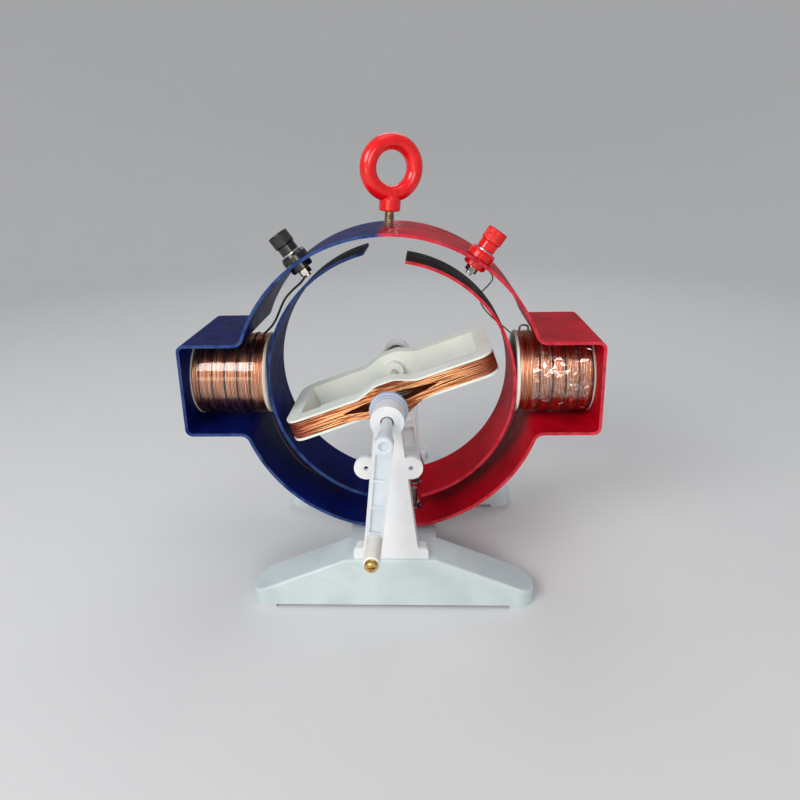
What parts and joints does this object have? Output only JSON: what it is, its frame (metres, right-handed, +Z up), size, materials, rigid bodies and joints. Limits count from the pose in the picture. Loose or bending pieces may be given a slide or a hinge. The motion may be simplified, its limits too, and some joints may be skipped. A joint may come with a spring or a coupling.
{
  "type": "demonstration electric motor",
  "caption": "Open classroom motor: a bent steel ring with two field coils and curved pole shoes round a wound armature that a hand crank turns, on an H-shaped moulded base.",
  "frame": {"origin": "on the surface that the motor stands on, under the middle of the base", "axes": "+X from the left pole to the right pole, +Y from the crank to the commutator along the shaft, +Z up"},
  "size_m": [0.2714, 0.2021, 0.294],
  "materials": {
    "base_plastic": "moulded, satin",
    "upright_plastic": "moulded, satin",
    "former_plastic": "moulded, satin",
    "pulley_plastic": "moulded, satin",
    "insulating_plastic": "moulded, satin",
    "band_paint": "gloss paint",
    "blue_paint": "gloss paint",
    "red_paint": "gloss paint",
    "eye_paint": "gloss paint",
    "copper": "enamelled wire",
    "spring_metal": "rolled strip",
    "bearing_bronze": "sintered",
    "steel": "turned",
    "plated_steel": "zinc plated",
    "brass": "turned",
    "black_plastic": "moulded",
    "red_plastic": "moulded"
  },
  "bodies": {
    "stand": {"base": "base_plastic", "front_upright": "upright_plastic", "rear_upright": "upright_plastic", "field_bobbin_left": "insulating_plastic", "field_bobbin_right": "insulating_plastic", "yoke_band": "band_paint", "pole_shoe_left": "blue_paint", "pole_shoe_right": "red_paint", "eye_bolt": "eye_paint", "field_winding_left": "copper", "field_winding_right": "copper", "lead_post_right": "copper", "lead_brush_left": "copper", "lead_brush_right": "copper", "brush_left": "spring_metal", "brush_right": "spring_metal", "front_bearing_bush": "bearing_bronze", "rear_bearing_bush": "bearing_bronze", "field_core_left": "steel", "field_core_right": "steel", "ring_bolts": "plated_steel", "ring_washers": "plated_steel", "ring_nuts": "plated_steel", "core_screws": "plated_steel", "upright_screws": "plated_steel", "brush_screws": "plated_steel", "eye_nut": "plated_steel", "post_stud_left": "plated_steel", "post_stud_right": "plated_steel", "post_tag_left": "plated_steel", "post_tag_right": "plated_steel", "post_nut_left": "plated_steel", "post_nut_right": "plated_steel", "post_collar_left": "black_plastic", "post_insulator_left": "black_plastic", "lead_post_left": "black_plastic", "post_collar_right": "red_plastic", "post_insulator_right": "red_plastic"},
    "rotor": {"shaft": "steel", "armature_frame": "former_plastic", "armature_winding": "copper", "drive_pulley": "pulley_plastic", "commutator_hub": "insulating_plastic", "commutator_segment_a": "copper", "commutator_segment_b": "copper", "shaft_clip": "steel", "crank_arm": "upright_plastic", "grip_screw": "brass"},
    "grip": {"crank_grip": "upright_plastic"},
    "left_insert": {"cap_insert_left": "brass"},
    "left_cap": {"cap_left": "black_plastic"},
    "right_insert": {"cap_insert_right": "brass"},
    "right_cap": {"cap_right": "red_plastic"}
  },
  "joints": [
    {"name": "rotor_spin", "type": "hinge", "parent": "stand", "child": "rotor", "pos_m": [0, 0, 0.128], "axis": [0, 1, 0], "continuous": true},
    {"name": "grip_spin", "type": "hinge", "parent": "rotor", "child": "grip", "pos_m": [-0.00694, -0.11, 0.06891], "axis": [0, 1, 0], "continuous": true},
    {"name": "left_cap_travel", "type": "slide", "parent": "stand", "child": "left_insert", "axis": [-0.5736, 0, 0.8192], "range_m": [0, 0.005]},
    {"name": "left_cap_turn", "type": "hinge", "parent": "left_insert", "child": "left_cap", "pos_m": [-0.06195, -0.022, 0.22387], "axis": [-0.5736, 0, 0.8192], "range_deg": [0, 2571.43]},
    {"name": "right_cap_travel", "type": "slide", "parent": "stand", "child": "right_insert", "axis": [0.5736, 0, 0.8192], "range_m": [0, 0.005]},
    {"name": "right_cap_turn", "type": "hinge", "parent": "right_insert", "child": "right_cap", "pos_m": [0.06195, -0.022, 0.22387], "axis": [0.5736, 0, 0.8192], "range_deg": [0, 2571.43]}
  ],
  "couplings": [
    {"joint": "left_cap_turn", "follows": "left_cap_travel", "rad_per_m": 8976},
    {"joint": "right_cap_turn", "follows": "right_cap_travel", "rad_per_m": 8976}
  ]
}
